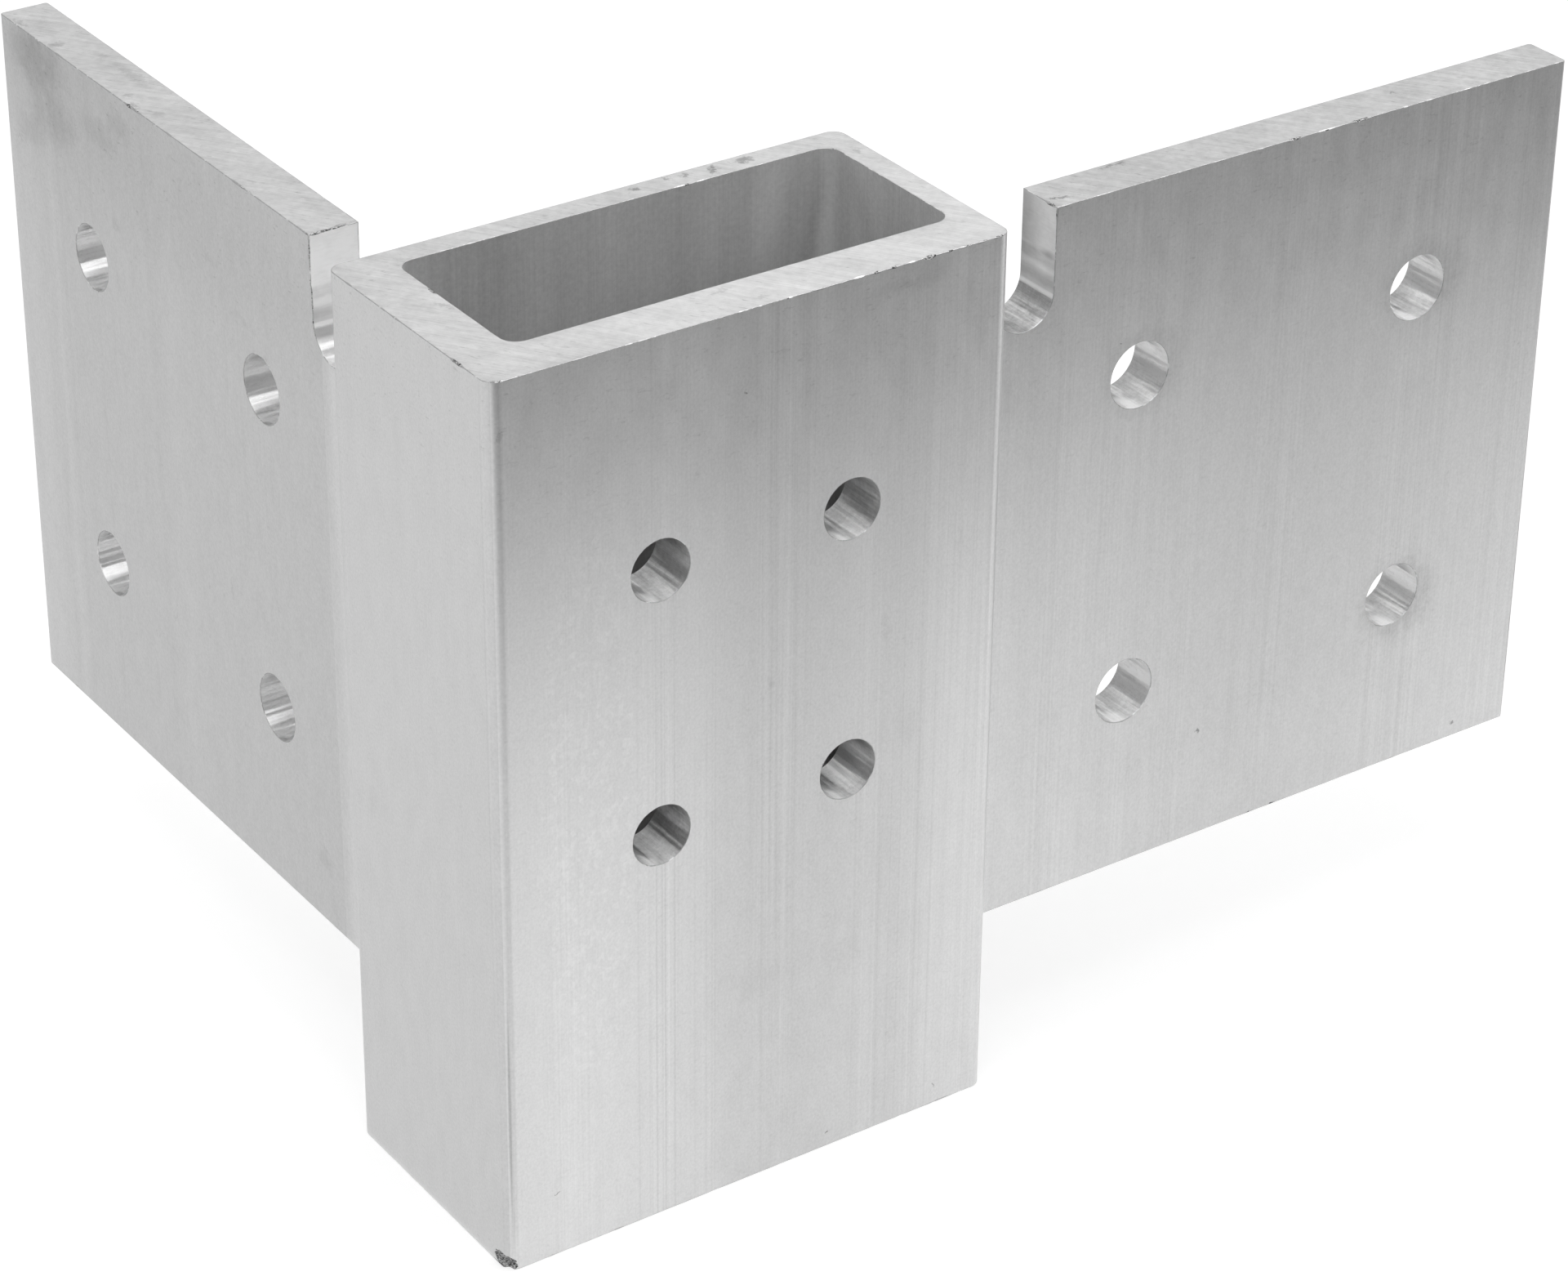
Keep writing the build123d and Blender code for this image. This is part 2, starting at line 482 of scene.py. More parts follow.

# %% [markdown]
# ## Inside the socket
#
# The inside was drawn over the die's mandrel. It is the same metal, but duller and more streaked,
# because nothing ever rubbed against it and the oil stayed in it. A rougher version of the skin
# does it, with stronger broad streaks and no handling marks. Deep down it is painted darker, as
# shade where little light reaches, and its walls have painted light and shade.

# %% Finish: inside of the socket
inside, tree, place = new_finish("extruded_inside_aluminium")
fine = grain(tree, place, (0.3, 0.3, 40))
broad = grain(tree, place, (7, 7, 90), detail=3.0)
pores = grain(tree, place, (0.6, 0.6, 0.6), detail=2.0, roughness=0.7)
up = add(tree, "ShaderNodeSeparateXYZ", {0: place}).outputs["Z"]
# painted shade: darker the deeper down, where less light gets in
painted_depth_shade = ramped(tree, up, 60.0, 112.0, 0.53, 1.1, "SMOOTHSTEP")
tone = mixed_in(tree, painted_depth_shade, [(fine, 0.18), (broad, 0.35), (pores, 0.3)])
# painted light and shade on the inside walls: a light band beside a dark one, a diagonal painted
# shadow on the right wall, a bright strip in the far right corner, and darker patches
tone = marked(tree, place, tone, [
    ((24, opening_back, 128), (4.5, 3, 16), (0, radians(11), 0), 1.0, 0.12),
    ((31.3, opening_back, 124), (2.0, 2, 16), (0, radians(11), 0), 1.0, -0.12),
    ((opening_right, 6, 128), (2, 3, 13), (radians(-27), 0, 0), 1.0, -0.07),
    ((opening_right - 0.5, opening_back - 0.5, 122), (2.0, 2.0, 30), (0, 0, 0), 1.0, 0.16),
    ((opening_right, 0, 120), (2, 20, 60), (0, 0, 0), 1.0, -0.06),
    ((2, opening_back, 112), (9, 5, 26), (0, radians(-25), 0), 1.0, -0.08),
    ((-22, opening_back, 125), (16, 5, 40), (0, 0, 0), 1.0, -0.14),
])
metal(tree, "#dedede", tone, 0.55, fine, 0.01)
print(inside.name, "has", len(tree.nodes), "nodes")

# %% [markdown]
# ## Sawn ends
#
# A circular saw with carbide teeth cut the bar and the wings' lower ends. Each tooth left one
# shallow arc, and on an end face the arcs lie side by side across the section, here at a slant of
# 56 degrees. The real pitch is under a tenth of a millimetre. It is drawn at 0.3 mm, with some
# longer and stronger scratches over it, and broad patches where the blade rubbed more or less. The
# freshly cut metal is whiter than the skin, and dirt from handling sits in it as small dark ticks.

# %% Finish: sawn ends
SAW_TURN = -56.0
sawn, tree, place = new_finish("sawn_aluminium")
arcs = grain(tree, place, (9, 0.3, 9), detail=3.0, roughness=0.65, turn=(0, 0, SAW_TURN))
scores = grain(tree, place, (14, 1.1, 9), detail=2.0, turn=(0, 0, SAW_TURN + 6))
clouds = grain(tree, place, (3.5, 3.5, 3.5), detail=3.0, roughness=0.6)
blots = grain(tree, place, (1.1, 1.1, 1.1), detail=3.0, roughness=0.65)
patches = grain(tree, place, (13, 13, 13), detail=1.0)
parts = [(arcs, 0.36), (scores, 0.30), (clouds, 0.26), (blots, 0.34), (patches, 0.22)]
tone = mixed_in(tree, 1.025, parts)
ticks = grain(tree, place, (2.2, 0.5, 2), detail=3.0, roughness=0.7, turn=(0, 0, SAW_TURN))
tone = times_plus(tree, ramped(tree, ticks, 0.61, 0.73), -0.28, tone)
# painted light: the socket's rims are lighter, most at the front, then right, left and back; the
# right wing's top is darker and the left wing's a little lighter, as the light falls on each
tone = marked(tree, place, tone, [
    on_top(0, -18, 48, 6, 0.12, soft=0.4),
    on_top(36, -2, 4, 24, 0.08, soft=0.4),
    on_top(-38, -4, 6, 24, 0.06, soft=0.4),
    on_top(0, 16, 46, 4, 0.04, soft=0.4),
    on_top(93, -15, 60, 8, -0.13, soft=0.2),
    on_top(-35, 70, 8, 60, 0.03, soft=0.2),
])
tone = marked(tree, shaken(tree, place, 1.0, 3), tone, [
    on_top(4, 16.6, 1.3, 1.0, -0.5),
    on_top(16.3, 16.0, 0.8, 1.9, -0.5, tilt=-25),
    on_top(21.6, 16.4, 1.8, 1.2, -0.5),
    on_top(12.0, 16.4, 0.7, 1.6, -0.4, tilt=-25),
    on_top(9.5, 17.0, 0.7, 0.9, -0.35),
    on_top(-35, 0, 0.6, 2.4, -0.2, tilt=30),
    on_top(36, 10.5, 0.9, 1.6, -0.22),
    on_top(-4, -15.6, 3, 0.5, -0.15, tilt=10),
    on_top(0, -20, 1.5, 0.6, -0.15),
    on_top(62, -12.3, 3, 0.6, -0.3),
    on_top(49.5, -16.6, 2.2, 0.5, -0.5, tilt=-20),
    on_top(109.8, -14.3, 0.5, 0.5, -0.35),
    on_top(-37.4, 103, 1.6, 1.3, -0.2),
    on_top(-34.2, 95.5, 1.5, 1.5, -0.15),
    on_top(-38.2, 77.5, 0.5, 1.8, -0.3),
    on_top(-37.4, 81, 1.0, 0.9, -0.2),
    on_top(-35, 27.9, 4.5, 0.35, -0.35),
    on_top(-33.6, 87, 1.4, 6.5, -0.16),
    on_top(-37.2, 73, 1.5, 1.6, -0.14),
    on_top(-36.5, 109, 2.2, 4, -0.10),
    on_top(-38.3, 113, 0.7, 2.5, -0.25),
])
metal(tree, "#d2d2d2", tone, 0.46, arcs, 0.03)
print(sawn.name, "has", len(tree.nodes), "nodes")

# %% [markdown]
# ## Drilled and milled walls
#
# A drill leaves a bright wall with one fine ring for each turn, because every turn feeds it a
# little deeper, and chips on their way out draw streaks along the hole. The rings are finer than a
# pixel, about 0.1 mm, so they aren't drawn one by one. What they do to light is: they spread it
# along the hole and keep it sharp across, as brushed metal does. The shader calls that
# anisotropic, and its tangent tells it which way the light is spread. The holes of the left wing
# run along X and all others along Y, so the tangent and the streaks take one or the other. The
# left wing's holes are painted brighter, standing in for more light on them. Each hole also has a
# painted highlight and painted shade, the same in all the holes of a pattern.
#
# The round ends of the slots were drilled too, before the slots were cut down to them from the top
# with an end mill, which left their upper walls matt and pale.

# %% Finishes: drilled and milled
slot_width, slot_depth = 9.5, 17.0
drilled_top = height - slot_depth + slot_width
round_middle = height - slot_depth + slot_width / 2
WING_PITCH = 50.0  # a wing's four holes stand on a square of this side
wing_middle = (wing_foot + height) / 2
socket_columns = [(socket_left + socket_right) / 2 + side for side in (-15, 15)]
socket_rows = [height - 53.5 + side for side in (-20, 20)]

drilled, tree, place = new_finish("drilled_aluminium")
parts = add(tree, "ShaderNodeSeparateXYZ", {0: place}).outputs
inputs = {0: parts["Y"], 1: socket_back}
in_left_wing = add(tree, "ShaderNodeMath", inputs, operation="GREATER_THAN").outputs[0]
inputs = {0: in_left_wing, 4: (0, 1, 0), 5: (1, 0, 0)}
along_hole = add(tree, "ShaderNodeMix", inputs, data_type="VECTOR").outputs[1]
inputs = {0: in_left_wing, 4: (1, 0.05, 1), 5: (0.05, 1, 1)}
squeeze = add(tree, "ShaderNodeMix", inputs, data_type="VECTOR").outputs[1]
inputs = {0: place, 1: squeeze}
squeezed = add(tree, "ShaderNodeVectorMath", inputs, operation="MULTIPLY").outputs[0]
streaks = grain(tree, squeezed, (0.3, 0.3, 0.3), detail=3.0, roughness=0.65)
ripples = grain(tree, squeezed, (1.3, 1.3, 1.3), detail=1.0)
scuffs = grain(tree, place, (0.8, 0.8, 0.8), detail=4.0, roughness=0.75)
relief = mixed_in(tree, 0.0, [(streaks, 0.02), (ripples, 0.26), (scuffs, 0.03)])
# painted light: the left wing's holes are made brighter
tone = times_plus(tree, in_left_wing, 0.4, 0.78)
tone = mixed_in(tree, tone, [(streaks, 0.5), (scuffs, 0.6)])
tone = marked(tree, place, tone, [
    # the round ends of the slots: a painted highlight and painted shade
    ((-35, 27.5, 121), (8, 3, 1.2), (0, 0, 0), 0.5, 0.4),
    ((-35, 24.6, 118.85), (8, 2.2, 0.5), (0, 0, 0), 0.4, -0.45),
    ((43, -15, 118.5), (4.8, 6, 2.4), (0, 0, 0), 0.4, -0.26),
])
for x in socket_columns:
    for z in socket_rows:
        # a painted shade and a painted highlight, in each hole of the socket
        tone = marked(tree, place, tone, [
            ((x + 3.0, -18, z + 2.5), (4.0, 9, 4.0), (0, 0, 0), 0.6, -0.38),
            ((x - 2.2, -21, z - 4.2), (2.6, 2.6, 1.3), (0, 0, 0), 0.5, 0.35),
        ])

# The place is wrapped at the pitch of a wing's holes, so that what is drawn for the lower hole
# next to the socket is repeated in all four.
FAR = 500  # no wrapping this way
low, high = wing_middle - WING_PITCH, wing_middle
inputs = {0: place, 1: (FAR, socket_back + WING_PITCH, high), 2: (-FAR, socket_back, low)}
left_hole = add(tree, "ShaderNodeVectorMath", inputs, operation="WRAP").outputs[0]
# painted shade in the left wing's holes
tone = marked(tree, left_hole, tone, [
    ((-35, 45.3, 51.5), (8, 0.8, 0.5), (0, 0, 0), 0.6, -0.4),
    ((-38.8, 42.2, 51.0), (1.1, 1.4, 0.5), (0, 0, 0), 0.6, -0.45),
    ((-39, 44.0, 61.0), (2.6, 1.8, 1.6), (0, 0, 0), 0.4, -0.35),
])
inputs = {0: place, 1: (socket_right + WING_PITCH, FAR, high), 2: (socket_right, -FAR, low)}
right_hole = add(tree, "ShaderNodeVectorMath", inputs, operation="WRAP").outputs[0]
# painted highlights in the right wing's holes
tone = marked(tree, right_hole, tone, [
    ((67.5, -15, 57.0), (4.5, 9, 7.0), (0, 0, 0), 0.5, 0.4),
    ((61.5, -18, 51.2), (3.2, 4.5, 1.3), (0, 0, 0), 0.5, 0.4),
])
metal(tree, "#ececec", tone, 0.48, relief, 1.0, Anisotropic=1.0, Tangent=along_hole)

milled, tree, place = new_finish("milled_aluminium")
feed = grain(tree, place, (2.0, 2.0, 0.35), detail=3.0, roughness=0.6)
clouds = grain(tree, place, (2.5, 2.5, 2.5), detail=3.0)
up = add(tree, "ShaderNodeSeparateXYZ", {0: place}).outputs["Z"]
tone = ramped(tree, up, drilled_top - 0.3, drilled_top + 0.2, 0.82, 0.93, "SMOOTHSTEP")
tone = mixed_in(tree, tone, [(feed, 0.14), (clouds, 0.22)])
tone = marked(tree, place, tone, [
    # the last three steps of the feed, then the left slot's wall and the right slot's
    ((0, 0, 125.2), (300, 300, 0.9), (0, 0, 0), 0.8, 0.14),
    ((0, 0, 123.5), (300, 300, 1.0), (0, 0, 0), 0.8, -0.10),
    ((0, 0, 122.0), (300, 300, 0.45), (0, 0, 0), 0.8, 0.26),
    ((-35, 27.5, 129.5), (8, 3, 9), (0, 0, 0), 0.3, 0.1),
    ((47.5, right_wing_inner, 131), (3, 5.5, 12), (0, 0, 0), 1.0, -0.3),
    ((47.5, -17.5, 127.6), (3, 2.5, 0.9), (0, 0, 0), 1.0, -0.25),
])
metal(tree, "#fafafa", tone, 0.66, feed, 0.02)
print("cutter finishes:", drilled.name, len(drilled.node_tree.nodes), milled.name, len(tree.nodes))

# %% [markdown]
# ## Broken and torn edges
#
# Where a tool leaves the metal it raises a burr, and the file or a knock breaks it off again. The
# narrow strip that is left is bright, and catches the light along every edge, with glints painted
# into its colour. Where the metal tore it is rough: dark in its pits and white on its crests.

# %% Finishes: broken and torn edges
burr, tree, place = new_finish("broken_edge_aluminium")
file_marks = grain(tree, place, (0.5, 0.5, 0.5), detail=2.0)
# painted glints: the strip's colour is brighter in places and darker elsewhere
painted_glints = grain(tree, place, (3.0, 3.0, 3.0), detail=3.0, roughness=0.7)
tone = ramped(tree, painted_glints, 0.55, 0.64, 0.62, 1.1)
metal(tree, "#e4e4e4", mixed_in(tree, tone, [(file_marks, 0.4)]), 0.45, file_marks, 0.02)
torn, tree, place = new_finish("torn_aluminium")
crumbs = grain(tree, place, (0.3, 0.3, 0.22), detail=3.0, roughness=0.75)
crests = ramped(tree, crumbs, 0.42, 0.6, 0.08, 1.15)
metal(tree, "#d0d0d0", crests, 0.45, crumbs, 0.25)
print("edge finishes:", burr.name, torn.name)

# %% [markdown]
# ## Saw, end mill and drills
#
# Each cut is a solid of the shape that the tool sweeps, and a Boolean takes it out of the bar. The
# cutting solids carry the finish that the tool leaves, and the Boolean hands it on to the new
# faces.

# %% The tools
OVER = 5.0  # how far a cutting solid reaches past what it cuts
slot_step = 0.25  # how much wider the end mill left the left slot than the drill
facing_front = Matrix.Rotation(radians(90), 4, "X")
facing_right = Matrix(((0, 0, 1, 0), (1, 0, 0, 0), (0, 1, 0, 0), (0, 0, 0, 1)))


def circle(x, y, diameter, steps=96):
    """The points round a circle."""
    angles = [2 * pi * k / steps for k in range(steps)]
    return [(x + diameter / 2 * cos(a), y + diameter / 2 * sin(a)) for a in angles]


def slot_outline(start, step):
    """A slot from the top down to a drilled round end, with its upper part wider by a step."""
    radius = slot_width / 2
    angles = [pi + pi * k / 48 for k in range(49)]
    outline = [(start + radius + radius * cos(a), round_middle + radius * sin(a)) for a in angles]
    end = start + slot_width
    outline += [(end, drilled_top - 0.3), (end + step, drilled_top + 0.3)]
    outline += [(end + step, height + OVER), (start, height + OVER), (start, drilled_top)]
    return outline


def joined(name, meshes, finish):
    """Several closed meshes as one cutting solid with one finish."""
    work = bmesh.new()
    for mesh in meshes:
        work.from_mesh(mesh)
        bpy.data.meshes.remove(mesh)
    mesh = bpy.data.meshes.new(name)
    work.to_mesh(mesh)
    work.free()
    mesh.materials.append(finish)
    cutter = bpy.data.objects.new(name, mesh)
    bpy.context.collection.objects.link(cutter)
    return cutter


# Where each cut starts and ends, along -Y or, in the left wing, along X.
through_right_wing, through_left_wing, through_socket = (5, 30), (-45, -25), (-30, 30)
below_right = [(socket_right, -60), (200, -60), (200, 60), (socket_right, 60)]
below_left = [(-60, socket_back), (socket_right, socket_back), (socket_right, 200), (-60, 200)]
right_slot, left_slot = slot_outline(socket_right, 0.0), slot_outline(socket_back, slot_step)
saw = joined("saw", [
    pulled("below_right_wing", [below_right], -OVER, wing_foot),
    pulled("below_left_wing", [below_left], -OVER, wing_foot),
], sawn)
end_mill = joined("end_mill", [
    pulled("right_slot", [right_slot], *through_right_wing, facing_front),
    pulled("left_slot", [left_slot], *through_left_wing, facing_right),
], drilled)
WING_HOLE, SOCKET_HOLE = 10.0, 9.0
holes = []
for z in (wing_middle - WING_PITCH / 2, wing_middle + WING_PITCH / 2):
    for out in (wing_reach / 2 - WING_PITCH / 2, wing_reach / 2 + WING_PITCH / 2):
        in_right = circle(socket_right + out, z, WING_HOLE)
        in_left = circle(socket_back + out, z, WING_HOLE)
        holes.append(pulled("hole", [in_right], *through_right_wing, facing_front))
        holes.append(pulled("hole", [in_left], *through_left_wing, facing_right))
for z in socket_rows:
    for x in socket_columns:
        in_socket = circle(x, z, SOCKET_HOLE)
        holes.append(pulled("hole", [in_socket], *through_socket, facing_front))
drills = joined("drills", holes, drilled)
print("cuts: 2 below the wings, 2 slots,", len(holes), "holes")

# %% Cut the bar
def cut_with(thing, tools):
    """Takes the tools out of a thing, and hands their finishes on to the cut faces."""
    for tool in tools:
        cut = thing.modifiers.new(tool.name, "BOOLEAN")
        cut.operation, cut.solver, cut.object = "DIFFERENCE", "EXACT", tool
        cut.material_mode = "TRANSFER"
    bpy.context.view_layer.update()
    evaluated = thing.evaluated_get(bpy.context.evaluated_depsgraph_get())
    shaped = bpy.data.meshes.new_from_object(evaluated)
    thing.modifiers.clear()
    thing.data = shaped
    for tool in tools:
        bpy.data.objects.remove(tool)
    return shaped


bar.materials.append(front_skin)
piece = bpy.data.objects.new("corner_connector_metal", bar)
bpy.context.collection.objects.link(piece)
shaped = cut_with(piece, [saw, end_mill, drills])
print("after the cuts:", len(shaped.polygons), "faces of", [m.name for m in shaped.materials])

# %% [markdown]
# ## Which face has which skin
#
# The bar was given one skin. Now each face is looked at once, by where it lies and which way it
# faces, to tell the inside, the left and the hidden back from the front, and the sawn ends too.

# %% Hand out the finishes
LEVEL = 0.99  # how squarely a face looks up or down to count as sawn
LEFTWARD, FORWARD = -0.75, -0.6  # how squarely it looks left or to the front, along X and along Y
milled_foot = round_middle - 1.3
for material in (left_skin, back_skin, inside, milled, burr, torn):
    shaped.materials.append(material)
finish_number = {material.name: i for i, material in enumerate(shaped.materials)}
work = bmesh.new()
work.from_mesh(shaped)
bmesh.ops.remove_doubles(work, verts=work.verts, dist=0.02)  # the cuts leave points a hair apart
for face in work.faces:
    x, y, z = face.calc_center_median()
    if face.material_index == finish_number[drilled.name] and z > milled_foot:
        face.material_index = finish_number[milled.name]
    elif abs(face.normal.z) > LEVEL and not 0.01 < z < height - 0.01:
        face.material_index = finish_number[sawn.name]
    elif face.material_index == finish_number[front_skin.name]:
        between_sides = opening_left - 1 < x < opening_right + 1
        if between_sides and opening_front - 1 < y < opening_back + 1:
            face.material_index = finish_number[inside.name]
        elif face.normal.x < LEFTWARD:
            face.material_index = finish_number[left_skin.name]
        elif face.normal.y > FORWARD:
            face.material_index = finish_number[back_skin.name]
bmesh.ops.dissolve_limit(
    work, angle_limit=radians(0.3), verts=work.verts, edges=work.edges, delimit={"MATERIAL"}
)
counts = {}
for face in work.faces:
    name = shaped.materials[face.material_index].name
    counts[name] = counts.get(name, 0) + 1
print("faces of each finish:", counts)

# %% [markdown]
# ## Edges
#
# No cut metal edge is a perfect line. Here each one is split into short lengths, cut back by about
# a tenth of a millimetre, and then worn unevenly by a noise that slides the new points within
# their own faces, so that the faces stay flat and the edges catch the light as a burr does. The
# front top edge has what the saw left where its teeth came out: a row of slivers 2.8 mm apart. A
# few places took a knock, and where much metal is gone the strip gets the torn finish.

# %% Break the edges
WEAR_PITCH, BREAK, SLIVER_PITCH = 0.7, 0.1, 2.8
TORN_FROM = 0.14  # an edge that is worn back further than this is torn
slot_edge = socket_back + slot_width
knocks = [
    # middle of the knock, its reach, and how much deeper the edge is worn there, in millimetres
    ((-35.2, slot_edge, height), 5.5, 0.06),
    ((left_wing_outer, slot_edge, 131), 6, 0.04),
    ((left_wing_outer, slot_edge, 125), 4, 0.04),
    ((30, socket_front, 0), 2.2, 0.16),
    ((-24.5, socket_front, 0), 1.2, 0.14),
    ((47.5, right_wing_outer, height), 2.5, 0.16),
    ((opening_left, 4.5, height), 1.2, 0.35),
    ((socket_left, -14.5, height), 1.4, 0.25),
    ((-41, socket_front, height), 1.5, 0.2),
    ((socket_left, -20.2, 0), 2.6, 0.2),
    ((-41.2, socket_front, 0), 1.6, 0.2),
    ((88, right_wing_outer, height), 1.5, 0.2),
    ((100, right_wing_outer, height), 1.8, 0.25),
    ((left_wing_outer, 77, height), 2.5, 0.2),
    ((left_wing_outer, 47, height), 2.0, 0.15),
]
beside_slot = (left_wing_outer - 1, slot_edge - 0.5)
ragged = [
    # two opposite corners of a box round an edge, and how high a noise must be for it to tear
    ((*beside_slot, height - 1), (left_wing_inner, slot_edge + 1, height + 1), -0.05),
    ((*beside_slot, 120), (left_wing_outer + 1, slot_edge + 1, height), 0.16),
]


def sharp_edges():
    """The edges between two faces that turn by more than 40 degrees."""
    return [e for e in work.edges if len(e.link_faces) == 2 and e.calc_face_angle() > radians(40)]


def wear(place):
    """How much further than the plain break an edge is worn back at this place."""
    # uneven everywhere, with a deeper nick now and then, and then the knocks and the slivers
    depth = 0.05 * max(noise.noise(place * 0.9) + 0.6 * noise.noise(place * 2.3), -0.9)
    depth += 0.5 * max(noise.noise(place * 0.5 + Vector((7, 3, 5))) - 0.42, 0)
    for middle, reach, extra in knocks:
        near = max(1 - (place - Vector(middle)).length / reach, 0)
        if near > 0:
            depth += extra * min(near * 2.5, 1) * (0.6 + 0.8 * abs(noise.noise(place * 1.7)))
    if place.y < socket_front + 1 and place.z > height - 1 and 2 < place.x < 37:
        depth += 0.17 * ((place.x / SLIVER_PITCH) % 1)
    return depth


def is_torn(place):
    """Whether the metal tore at this place of an edge instead of breaking off cleanly."""
    for low, high, least in ragged:
        inside_box = all(a <= b <= c for a, b, c in zip(low, place, high))
        if inside_box and noise.noise(place * 1.7) > least:
            return True
    return wear(place) > TORN_FROM


by_cuts = {}
for edge in sharp_edges():
    by_cuts.setdefault(round(edge.calc_length() / WEAR_PITCH) - 1, []).append(edge)
for cuts, edges in sorted(by_cuts.items()):
    if cuts > 0:
        bmesh.ops.bisect_edges(work, edges=edges, cuts=cuts)
edges = sharp_edges()
print("sharp edges:", len(edges), "shortest", round(min(e.calc_length() for e in edges), 3), "mm")
strip = bmesh.ops.bevel(
    work,
    geom=edges,
    offset=BREAK,
    offset_type="OFFSET",
    segments=2,
    profile=0.5,
    affect="EDGES",
    clamp_overlap=False,
    material=finish_number[burr.name],
)
strip = set(strip["faces"])
for vert in work.verts:
    flats = [face for face in vert.link_faces if face not in strip]
    if len(flats) == 1 and len(vert.link_faces) > 1:
        inward = sum((-face.normal for face in vert.link_faces if face in strip), Vector())
        inward -= inward.dot(flats[0].normal) * flats[0].normal
        if inward.length > 0.01:
            vert.co += inward.normalized() * wear(vert.co)
work.normal_update()
torn_faces = [face for face in strip if is_torn(face.calc_center_median())]
for face in torn_faces:
    face.material_index = finish_number[torn.name]
work.to_mesh(shaped)
work.free()
print("with broken edges:", len(shaped.polygons), "faces,", len(torn_faces), "of them torn")

# %% [markdown]
# ## The knocked corner
#
# The bottom front left corner was dropped on something hard: a gouge with a torn bottom runs from
# the left side round the corner. It is cut like a hole, with a lumpy ball as the tool, because a
# bump in the material would leave the corner's outline whole.

# %% Knock the corner
work = bmesh.new()
bmesh.ops.create_icosphere(work, subdivisions=5, radius=1.0)
for vert in work.verts:
    vert.co *= 1 + 0.16 * noise.noise(vert.co * 2.4) + 0.10 * noise.noise(vert.co * 6)
gouge = bpy.data.meshes.new("gouge")
work.to_mesh(gouge)
work.free()
along_gouge = Vector((1.7, -4.2, -0.75)).normalized()
turn = along_gouge.to_track_quat("Y", "Z").to_matrix().to_4x4()
there = Matrix.Translation((socket_left, -20.4, 1.1))
gouge.transform(there @ turn @ Matrix.Diagonal((0.85, 4.0, 1.15, 1)))
shaped = cut_with(piece, [joined("knock", [gouge], torn)])
work = bmesh.new()
work.from_mesh(shaped)
torn_number = [material.name for material in shaped.materials].index(torn.name)
rim = 0
for edge in work.edges:
    finishes = {face.material_index for face in edge.link_faces}
    if torn_number in finishes and len(finishes) == 2 and edge.verts[0].co.z < 5:
        edge.smooth = False
        rim += 1
work.to_mesh(shaped)
work.free()
print("gouge: a sharp rim of", rim, "edges, and", len(shaped.polygons), "faces in all")

# %% [markdown]
# ## Into the frame
#
# The piece is shrunk to metres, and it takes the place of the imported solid, which stays for the
# collisions. It rides on the only body there is. The faces are shaded smooth with normals weighted
# by area, so that the large faces stay flat and only the narrow strips turn the light.

# %% Place the piece
shaped.transform(Matrix.Scale(MM, 4))
for polygon in shaped.polygons:
    polygon.use_smooth = True
piece.modifiers.new("even_normals", "WEIGHTED_NORMAL").keep_sharp = True
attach(piece, "root")
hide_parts("corner_connector")
print("placed:", piece.name, [round(v, 4) for v in piece.dimensions])

# %% [markdown]
# ## Camera
#
# The camera stands at the front left, two thirds of a metre away, and looks down by 29 degrees.
# Its direction is given as the angle round from +Y and the angle down, because those two are easy
# to read off a picture, and a small roll levels it as the photographer held it. The picture was
# trimmed more at its top than at its foot, which is what the shift is for.

# %% Camera
camera = bpy.data.objects.new("camera", bpy.data.cameras.new("camera"))
bpy.context.collection.objects.link(camera)
bpy.context.scene.camera = camera
camera.data.sensor_width, camera.data.lens = 36.0, 106.192
camera.data.shift_x, camera.data.shift_y = 0.01192, -0.05763
camera.data.clip_start, camera.data.clip_end = 0.05, 20.0
round_from_back, down, roll = radians(34.496), radians(28.857), radians(0.480)
aim = Vector((sin(round_from_back) * cos(down), cos(round_from_back) * cos(down), -sin(down)))
camera.rotation_mode = "QUATERNION"
levelled = Matrix.Rotation(roll, 4, "Z").to_quaternion()
camera.rotation_quaternion = aim.to_track_quat("-Z", "Y") @ levelled
camera.location = (-0.29852, -0.45524, 0.38959)
print("camera", [round(v, 3) for v in camera.location], "lens", camera.data.lens)

# %% [markdown]
# ## Floor and cards
#
# Bare metal has hardly any colour of its own: it shows the room. So the studio is built for what
# each face mirrors. The floor is white paper. The front faces mirror the floor close in front, and
# further up the darker table in front of the paper, which is what darkens them towards the top.
# The left faces mirror a strip of floor that is a little dull. The slots and holes look past the
# wings: they mirror the lit paper between them, and the dim tables behind it and to its right.
# Such cards are seen by mirroring only: they hide from the camera, throw no shadow and light
# nothing else.

# %% Floor and cards
scene = bpy.context.scene
scene.view_settings.view_transform = "Standard"


def matt(name, code, lift_seen=0.0, lift_mirrored=0.0):
    """A dull surface, with some light of its own for the camera and some for what mirrors it."""
    material = bpy.data.materials.new(name)
    material.use_nodes = True
    tree = material.node_tree
    tree.nodes.clear()
    dull = add(tree, "ShaderNodeBsdfDiffuse", {"Color": linear(code)}).outputs[0]
    rays = add(tree, "ShaderNodeLightPath").outputs
    inputs = {0: rays["Is Camera Ray"], 1: lift_seen}
    seen = add(tree, "ShaderNodeMath", inputs, operation="MULTIPLY").outputs[0]
    lift = times_plus(tree, rays["Is Glossy Ray"], lift_mirrored, seen)
    glow = add(tree, "ShaderNodeEmission", {"Strength": lift}).outputs[0]
    both = add(tree, "ShaderNodeAddShader", {0: dull, 1: glow}).outputs[0]
    add(tree, "ShaderNodeOutputMaterial", {"Surface": both})
    return material


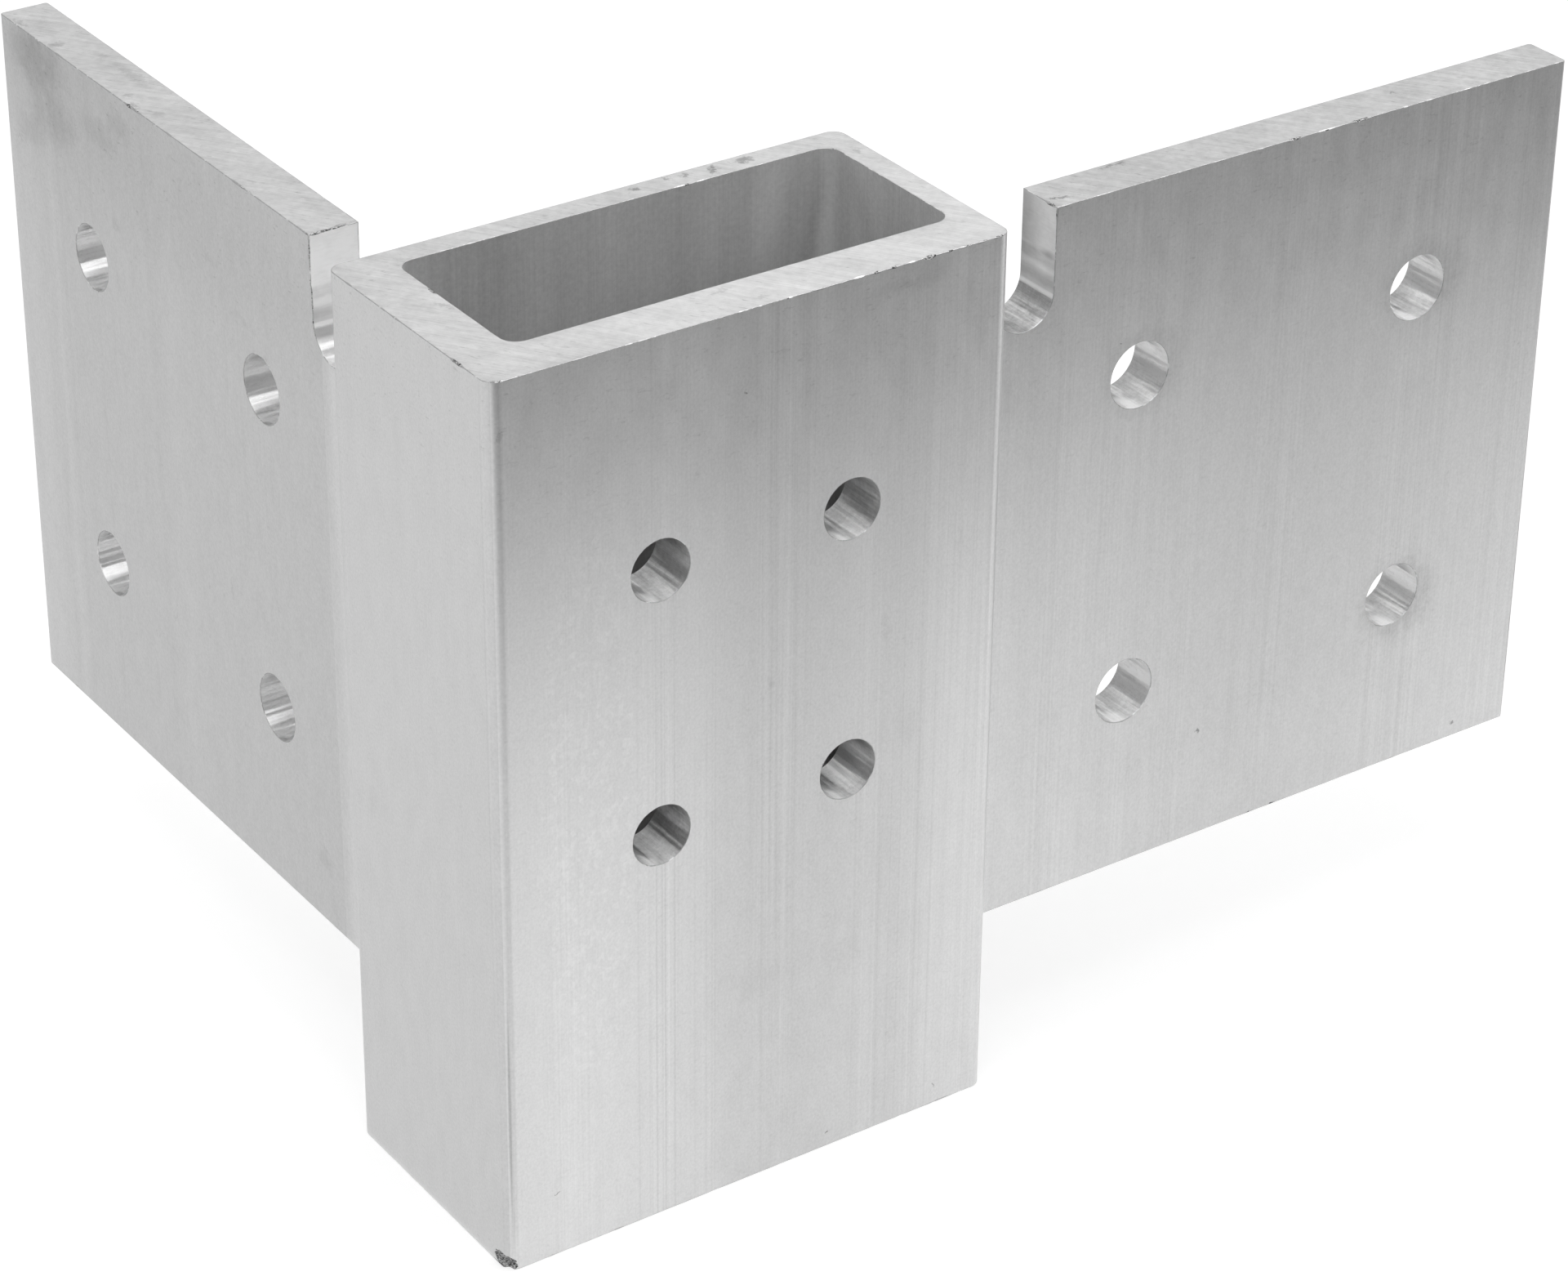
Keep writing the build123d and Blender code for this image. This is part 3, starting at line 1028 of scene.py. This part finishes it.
def sheet(name, corners, material, hidden=True):
    """A flat stage piece that isn't part of the object."""
    mesh = bpy.data.meshes.new(name)
    mesh.from_pydata([Vector(c) for c in corners], [], [range(len(corners))])
    mesh.materials.append(material)
    thing = bpy.data.objects.new(name, mesh)
    bpy.context.collection.objects.link(thing)
    if hidden:
        thing.visible_camera = thing.visible_diffuse = thing.visible_shadow = False


def oblong(left, front, right, back, up=0.0):
    """The corners of a level rectangle, in metres."""
    return [(left, front, up), (right, front, up), (right, back, up), (left, back, up)]


paper = matt("white_paper", "#dcdcdc", 0.45, 0.36)
dark = matt("dark_table_top", "#404040", lift_mirrored=0.185)
dull = matt("dull_paper", "#808080", lift_mirrored=0.62)
near = matt("lit_paper", "#dcdcdc", lift_mirrored=0.6)
dim = matt("dim_table_top", "#606060", lift_mirrored=0.3)
sheet("floor", oblong(-3, -3, 3, 3), paper, hidden=False)
edge, slant = -0.205, 2.0 * tan(radians(6))  # the paper ends here, at a slant
table = [(-2, edge - slant), (-2, -2.5), (2, -2.5), (2, edge + slant)]
sheet("dark_table", [(x, y, 0.0003) for x, y in table], dark)
sheet("near_paper", oblong(-0.03, 0.02, 0.5, 0.36, up=0.0002), near)
sheet("back_table", oblong(-0.6, 0.4, 2, 2.5, up=0.0002), dim)
sheet("right_table", oblong(0.19, -0.05, 1.5, 0.3, up=0.0004), dim)
sheet("dark_curtain", [(-2, -1.5, 0), (2, -1.5, 0), (2, -1.5, 1.6), (-2, -1.5, 1.6)], dark)
sheet("dull_floor", oblong(-2, -0.2, -0.0423, 2, up=0.0002), dull)

# %% [markdown]
# ## Light
#
# The light is plain: an even pale sky, and one large soft lamp overhead that gives the object its
# soft shadow on the floor. The camera sees the sky as white, and the metal sees it dimmer. Two
# more lamps are only mirrored: a long softbox in front gives the slots and holes on the left their
# white stripes, and a window behind gives the slot on the right its own. They light no paper. The
# softbox is long and dim rather than short and bright, so that the sawn tops, which mirror it when
# they are seen from behind, still show their saw marks.

# %% Sky and lamps
world = bpy.data.worlds.new("studio")
scene.world = world
world.use_nodes = True
tree = world.node_tree
tree.nodes.clear()
rays = add(tree, "ShaderNodeLightPath").outputs
strength = add(tree, "ShaderNodeMix", {0: rays["Is Camera Ray"], 2: 0.75, 3: 1.0}).outputs[0]
sky = add(tree, "ShaderNodeBackground", {"Color": (1, 1, 1, 1), "Strength": strength})
add(tree, "ShaderNodeOutputWorld", {"Surface": sky.outputs[0]})
LIT_MIDDLE = Vector((0.03, 0.03, 0.05))


def soft_lamp(name, direction, distance, width, depth, brightness, only_mirrored=False):
    """A flat lamp that faces the object, its width along X, as bright as so many white skies."""
    light = bpy.data.lights.new(name, "AREA")
    light.shape, light.size, light.size_y = "RECTANGLE", width, depth
    light.energy = brightness * pi * width * depth
    lamp = bpy.data.objects.new(name, light)
    bpy.context.collection.objects.link(lamp)
    towards = Vector(direction).normalized()
    lamp.location = LIT_MIDDLE + distance * towards
    lamp.rotation_mode = "QUATERNION"
    across = (Vector((1, 0, 0)) - towards * towards.x).normalized()
    axes = Matrix((across, towards.cross(across), towards)).transposed()
    lamp.rotation_quaternion = axes.to_quaternion()
    if only_mirrored:
        lamp.visible_camera = lamp.visible_diffuse = False
    return lamp


lamps = [
    # name, direction, distance, width, depth and brightness
    soft_lamp("overhead_softbox", (-0.23, -0.23, 1.15), 1.2, 0.8, 0.8, 1.5),
    soft_lamp("front_softbox", (0.2, -0.6, 0.74), 1.5, 3.0, 0.78, 2.15, only_mirrored=True),
    soft_lamp("back_window", (0.49, 0.31, 0.81), 1.5, 0.5, 0.16, 9.0, only_mirrored=True),
]
print("lamps:", [(lamp.name, round(lamp.data.energy, 1)) for lamp in lamps])
